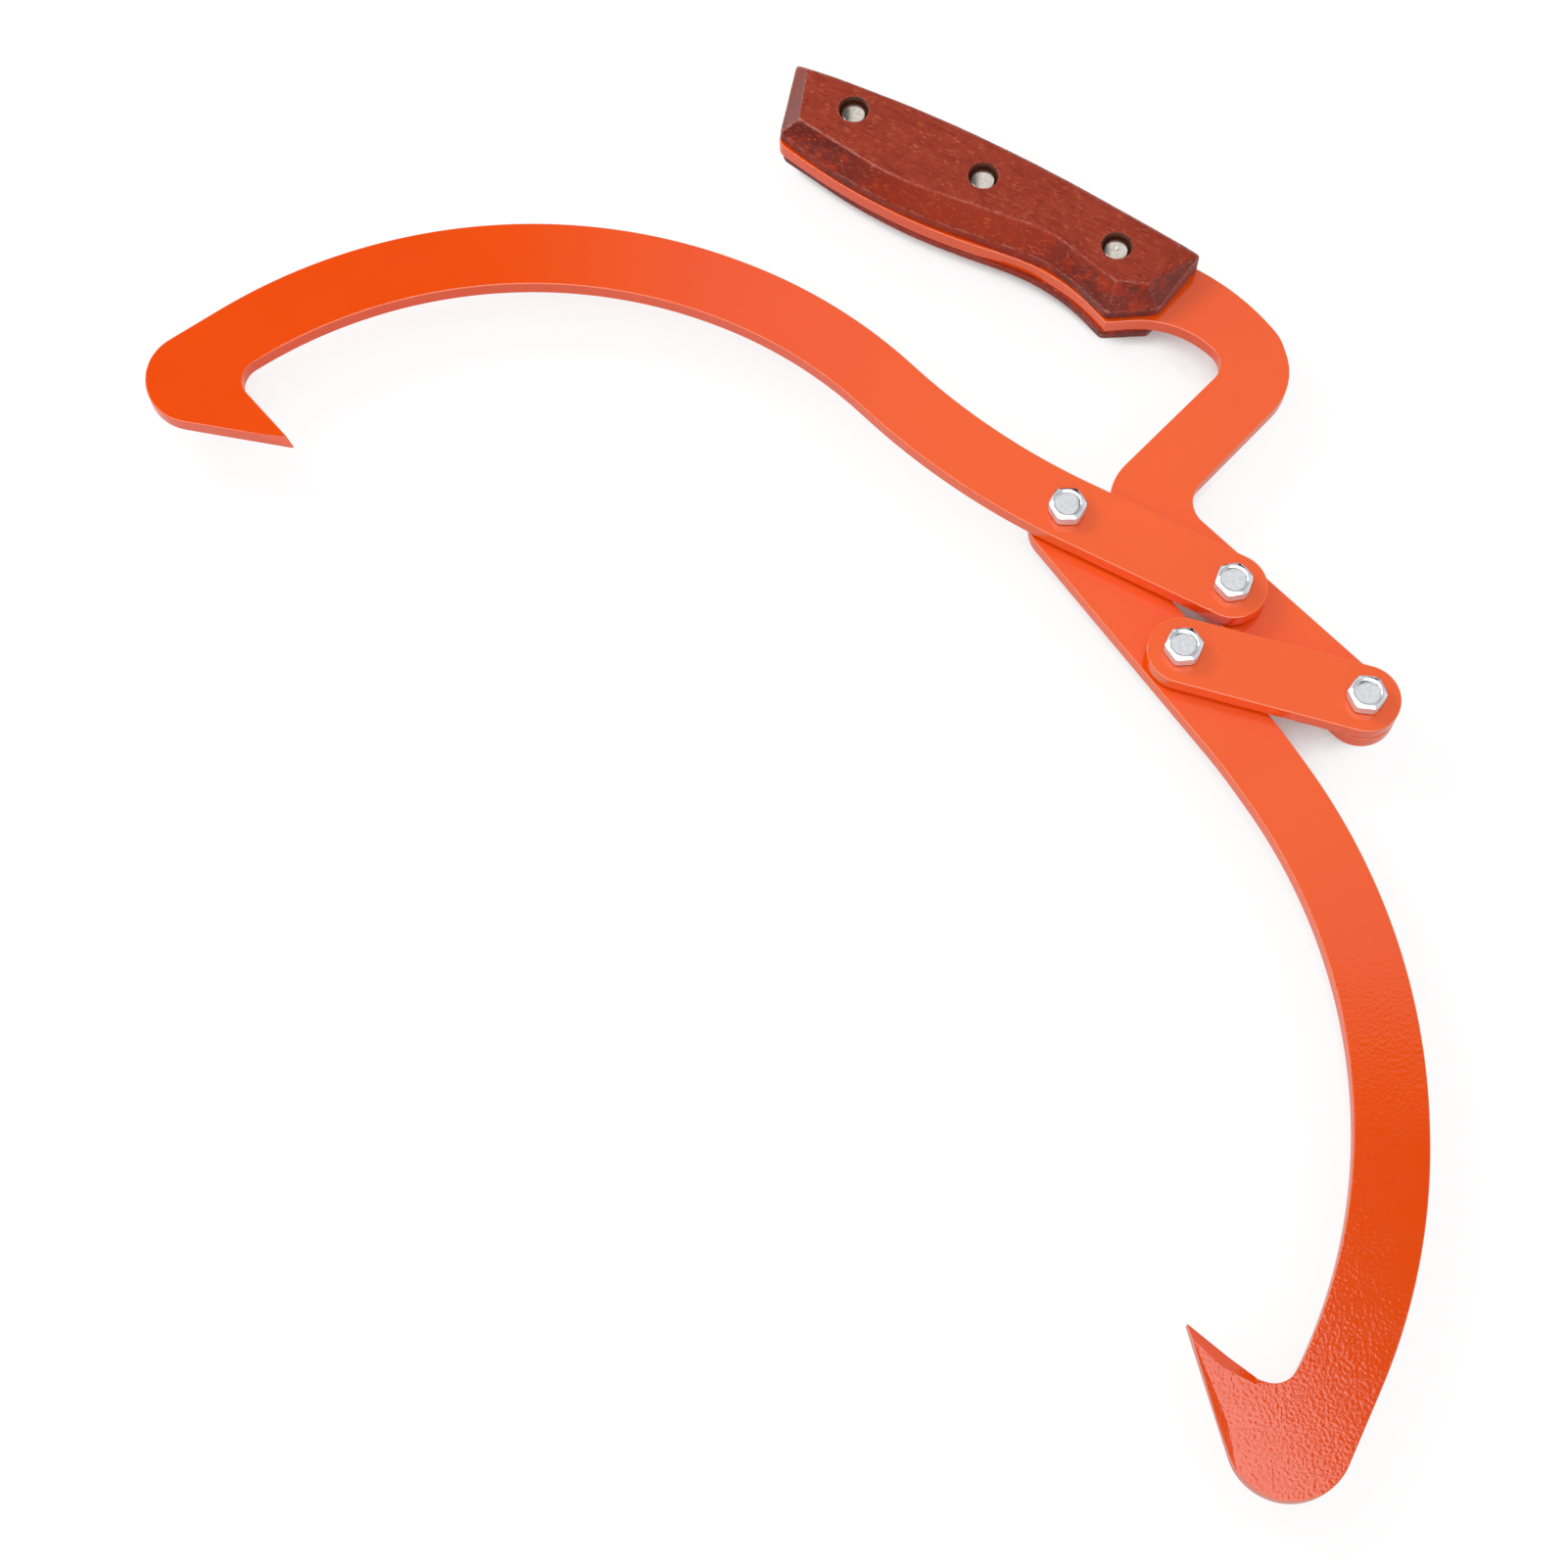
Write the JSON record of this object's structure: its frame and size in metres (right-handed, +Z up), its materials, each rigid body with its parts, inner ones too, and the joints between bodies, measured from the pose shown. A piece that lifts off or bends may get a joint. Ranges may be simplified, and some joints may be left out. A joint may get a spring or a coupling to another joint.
{
  "type": "skidding tongs",
  "caption": "Hand skidding tongs for dragging logs: hooked steel arms on pivot bolts, a link and a handle plate with a riveted wooden grip; pulling the grip closes the hooks.",
  "frame": {"origin": "middle of the open tongs in plan, on the surface they lie on", "axes": "+Z up out of the flat back of the tongs, +Y from the lower hook toward the grip, +X from the upper hook toward the pivots"},
  "size_m": [0.4112, 0.488, 0.0303],
  "materials": {
    "orange_coat": "glossy powder coat",
    "grip_wood": "stained and varnished",
    "zinc_plate": "zinc plated",
    "rivet_metal": "satin",
    "nut_nylon": "matte"
  },
  "bodies": {
    "handle": {"handle_plate": "orange_coat", "grip_scale_front": "grip_wood", "grip_scale_back": "grip_wood", "grip_rivet_1": "rivet_metal", "grip_rivet_2": "rivet_metal", "grip_rivet_3": "rivet_metal", "rivet_sleeve_1": "rivet_metal", "rivet_sleeve_2": "rivet_metal", "rivet_sleeve_3": "rivet_metal", "grip_bolt": "zinc_plate", "grip_nut": "zinc_plate", "grip_nut_insert": "nut_nylon", "grip_washer": "zinc_plate", "grip_spacer": "zinc_plate", "link_grip_bolt": "zinc_plate", "link_grip_nut": "zinc_plate", "link_grip_nut_insert": "nut_nylon", "link_grip_washer": "zinc_plate", "link_grip_spacer": "zinc_plate"},
    "upper_arm": {"upper_arm": "orange_coat", "arm_bolt": "zinc_plate", "arm_nut": "zinc_plate", "arm_nut_insert": "nut_nylon", "arm_washer": "zinc_plate", "arm_spacer": "zinc_plate"},
    "lower_arm": {"lower_arm": "orange_coat"},
    "link": {"link_bar": "orange_coat", "link_arm_bolt": "zinc_plate", "link_arm_nut": "zinc_plate", "link_arm_nut_insert": "nut_nylon", "link_arm_washer": "zinc_plate", "link_arm_spacer": "zinc_plate"}
  },
  "joints": [
    {"name": "grip_hinge", "type": "hinge", "parent": "handle", "child": "upper_arm", "pos_m": [0.1533, 0.0471, 0.019], "axis": [0, 0, 1], "range_deg": [0, 106]},
    {"name": "arm_hinge", "type": "hinge", "parent": "upper_arm", "child": "lower_arm", "pos_m": [0.1004, 0.0743, 0.019], "axis": [0, 0, 1], "range_deg": [-93.2, 0]},
    {"name": "link_hinge", "type": "hinge", "parent": "handle", "child": "link", "pos_m": [0.1938, 0.0075, 0.019], "axis": [0, 0, 1], "range_deg": [0, 100.3]}
  ],
  "couplings": [
    {"joint": "arm_hinge", "follows": "grip_hinge", "ratio": -0.879},
    {"joint": "link_hinge", "follows": "grip_hinge", "ratio": 0.946}
  ]
}
